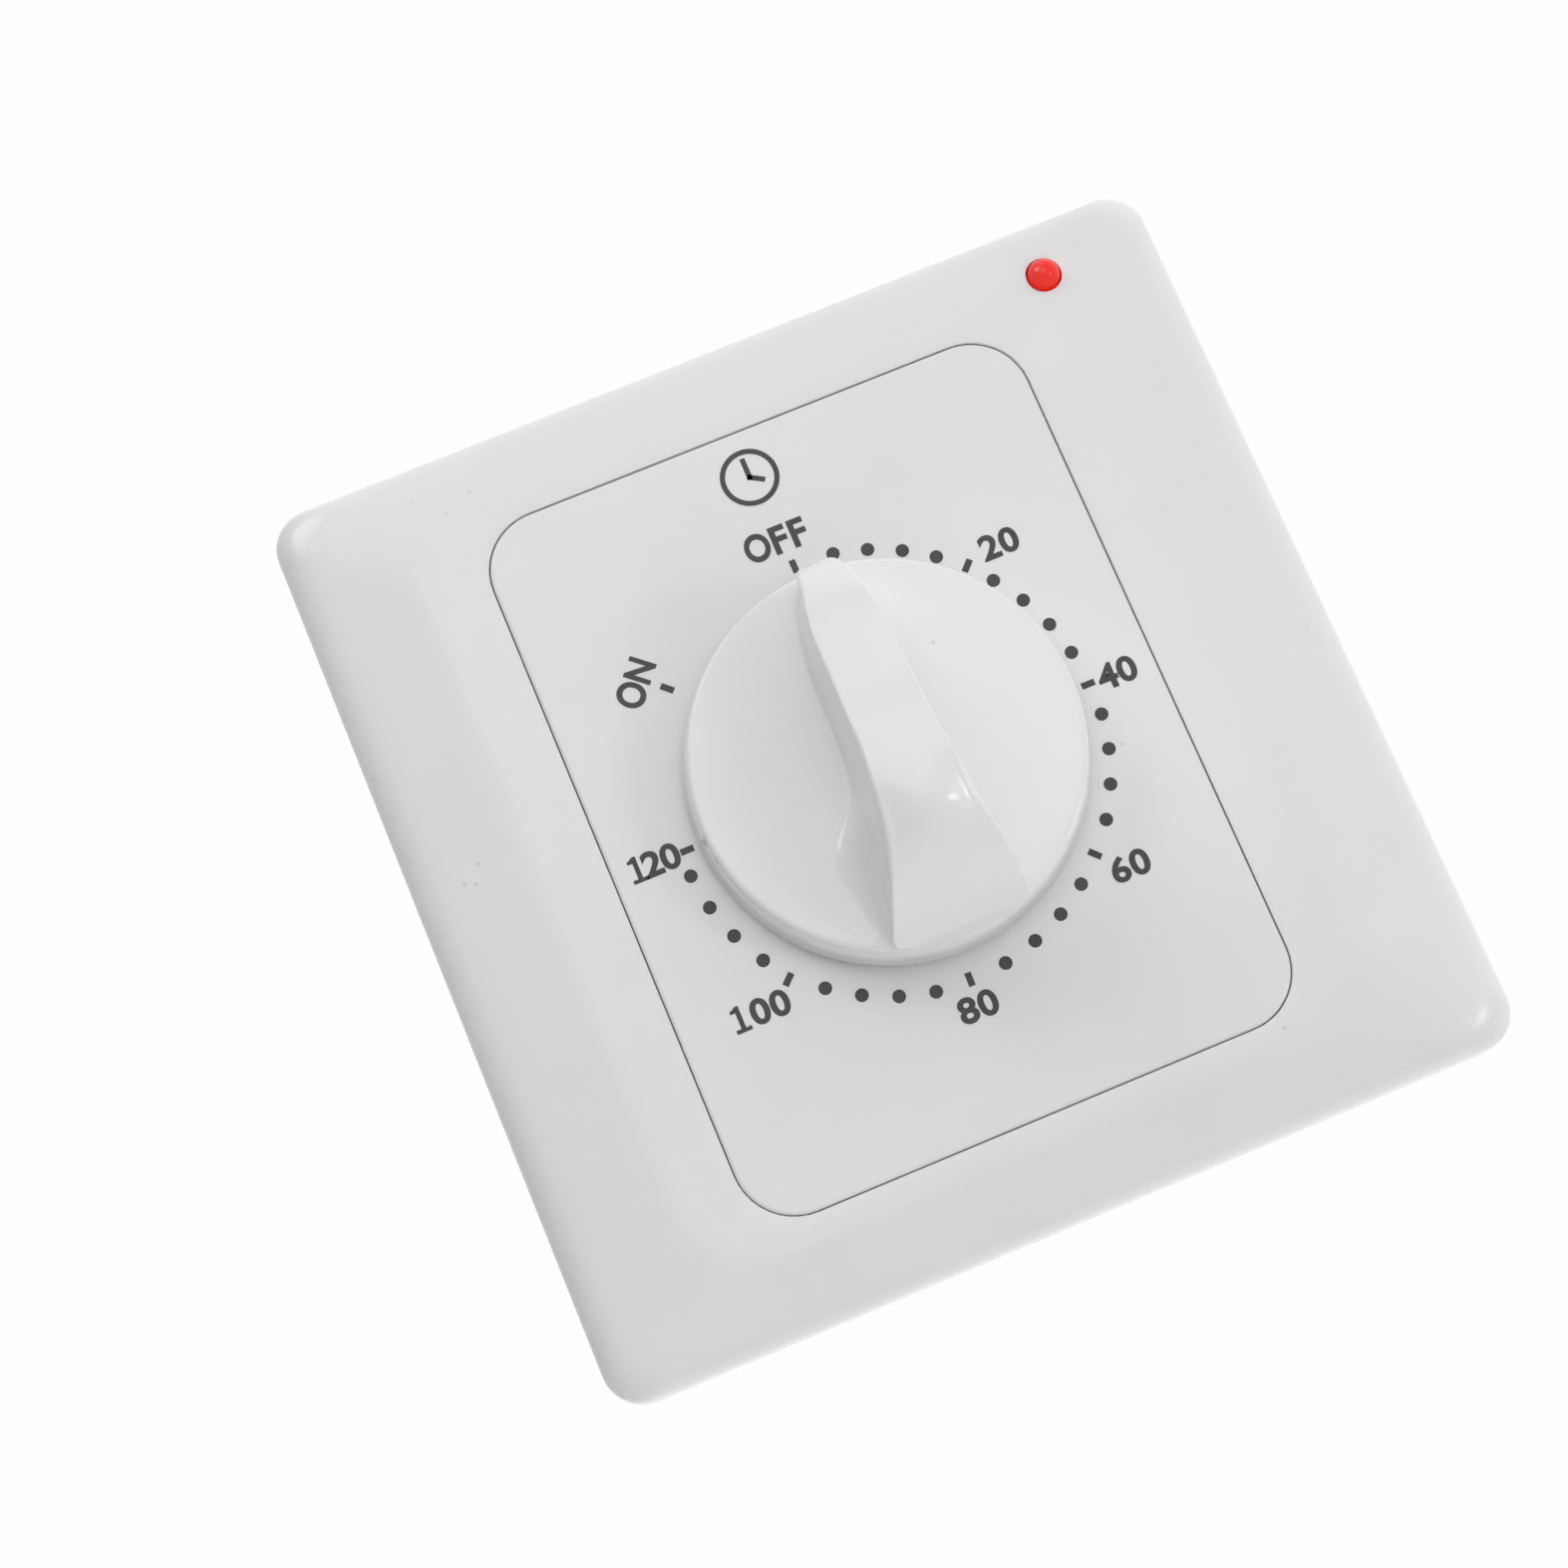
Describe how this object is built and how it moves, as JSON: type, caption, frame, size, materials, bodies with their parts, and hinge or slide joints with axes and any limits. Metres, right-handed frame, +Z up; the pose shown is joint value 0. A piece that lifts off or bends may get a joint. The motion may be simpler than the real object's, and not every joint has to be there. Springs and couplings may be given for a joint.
{
  "type": "timer light switch",
  "caption": "Square white wall plate with a round knob on a numbered dial that runs a clockwork switch back to off, with a red lamp in one corner.",
  "frame": {"origin": "midway between the two fixing slots, on the wall plane that the base frame rests on", "axes": "+Z up the wall, +X to the right seen from the room, +Y into the wall box"},
  "size_m": [0.086, 0.0636, 0.086],
  "materials": {
    "white_abs": "glossy",
    "knob_abs": "glossy",
    "frame_nylon": "matte",
    "housing_nylon": "matte",
    "cam_acetal": "satin",
    "block_phenolic": "satin",
    "steel": "brushed",
    "spring_steel": "polished",
    "zinc_steel": "zinc plated",
    "brass": "satin",
    "silver_alloy": "satin",
    "red_lens": "tinted epoxy",
    "tinned_copper": "tinned",
    "resistor_enamel": "enamel",
    "wire_pvc": "satin",
    "wire_pvc_blue": "satin"
  },
  "bodies": {
    "plate": {"surround_cover": "white_abs", "face_panel": "white_abs", "base_frame": "frame_nylon", "rear_housing": "housing_nylon", "housing_screws": "zinc_steel", "timer_front_plate": "steel", "timer_rear_plate": "steel", "plate_pillars": "brass", "pillar_nuts": "zinc_steel", "movement_screws": "zinc_steel", "shaft_bush": "brass", "spring_post": "steel", "mainspring": "spring_steel", "contact_block": "block_phenolic", "contact_block_screws": "zinc_steel", "fixed_contact_blade": "brass", "fixed_contact_rivet": "silver_alloy", "feed_strap": "brass", "terminal_block": "housing_nylon", "terminal_cages": "brass", "terminal_screws": "zinc_steel", "terminal_block_screws": "zinc_steel", "indicator_lamp": "red_lens", "lamp_legs": "tinned_copper", "lamp_resistor": "resistor_enamel", "lamp_feed_wire": "wire_pvc", "lamp_load_wire": "wire_pvc", "lamp_neutral_wire": "wire_pvc_blue"},
    "knob_and_shaft": {"knob": "knob_abs", "knob_spring_clip": "spring_steel", "drive_shaft": "steel", "clutch_washer": "spring_steel", "main_wheel": "brass", "switching_cam": "cam_acetal"},
    "second_gear": {"second_arbor": "steel", "second_wheel": "brass"},
    "third_gear": {"third_arbor": "steel", "third_wheel": "brass"},
    "escape_gear": {"escape_arbor": "steel", "escape_wheel": "brass"},
    "pallet": {"pallet_arbor": "steel", "pallet_lever": "brass", "pallet_pins": "steel"},
    "contact_blade": {"moving_contact_blade": "brass", "moving_contact_rivet": "silver_alloy"}
  },
  "joints": [
    {"name": "knob_turn", "type": "hinge", "parent": "plate", "child": "knob_and_shaft", "pos_m": [0, 0, 0], "axis": [0, 1, 0], "range_deg": [-45, 270], "deforming": ["mainspring"]},
    {"name": "second_gear_turn", "type": "hinge", "parent": "plate", "child": "second_gear", "pos_m": [-0.01273, 0.0125, -0.01273], "axis": [0, 1, 0], "continuous": true},
    {"name": "third_gear_turn", "type": "hinge", "parent": "plate", "child": "third_gear", "pos_m": [-0.00403, 0.0125, -0.01679], "axis": [0, 1, 0], "continuous": true},
    {"name": "escape_gear_turn", "type": "hinge", "parent": "plate", "child": "escape_gear", "pos_m": [0.00394, 0.0125, -0.01748], "axis": [0, 1, 0], "continuous": true},
    {"name": "pallet_swing", "type": "hinge", "parent": "plate", "child": "pallet", "pos_m": [0.01155, 0.0125, -0.01501], "axis": [0, 1, 0], "range_deg": [-6, 6]},
    {"name": "contact_close", "type": "hinge", "parent": "plate", "child": "contact_blade", "pos_m": [-0.013, 0.01535, 0.0117], "axis": [0, -1, 0], "range_deg": [0, 2.75], "stiffness_Nm_per_rad": 0.005}
  ],
  "couplings": [
    {"joint": "second_gear_turn", "follows": "knob_turn", "ratio": -5},
    {"joint": "third_gear_turn", "follows": "knob_turn", "ratio": 15},
    {"joint": "escape_gear_turn", "follows": "knob_turn", "ratio": -45}
  ]
}
